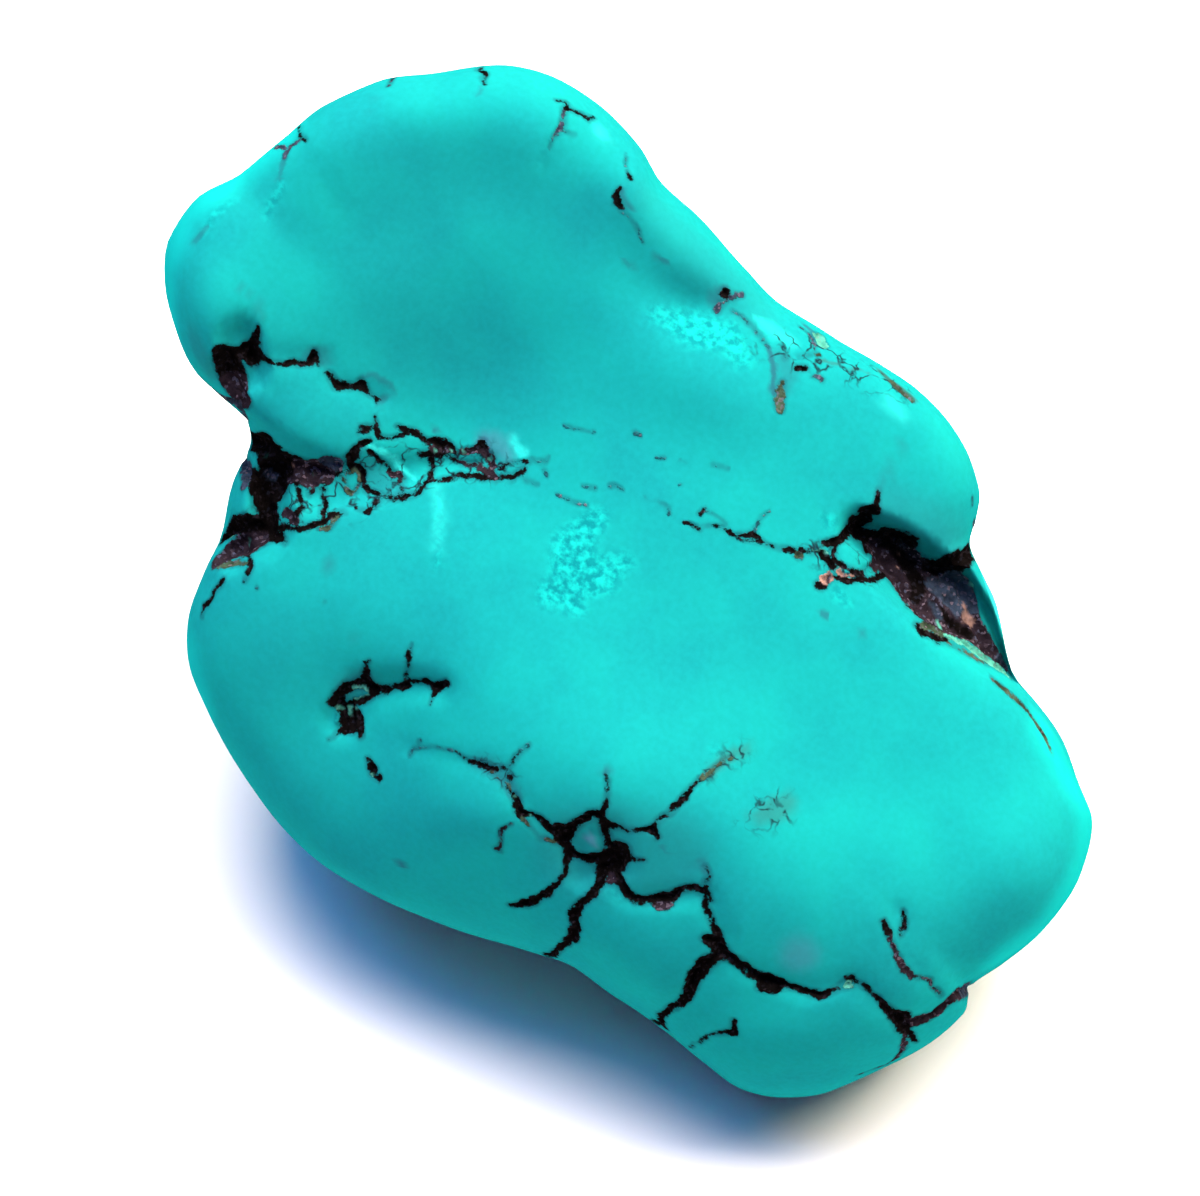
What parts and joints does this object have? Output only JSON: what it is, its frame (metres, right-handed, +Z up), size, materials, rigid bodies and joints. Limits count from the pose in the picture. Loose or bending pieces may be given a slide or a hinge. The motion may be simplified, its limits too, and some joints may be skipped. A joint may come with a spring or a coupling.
{
  "type": "turquoise nugget",
  "caption": "Tumbled turquoise nugget with a hollowed upper lobe, a rounded lower lobe, and pits and grooves of dark matrix; it rests on a small worn flat.",
  "frame": {"origin": "bottom centre of the bounding box, at the level of the worn flat it rests on", "axes": "+Z up as the stone lies on a table; X along its longest way across; the broad face with the hollow looks towards -Y and up"},
  "size_m": [0.0372, 0.0242, 0.0256],
  "materials": {
    "polished_turquoise": "polished, with dark matrix in its seams"
  },
  "bodies": {
    "root": {"turquoise_nugget": "polished_turquoise"}
  },
  "joints": []
}
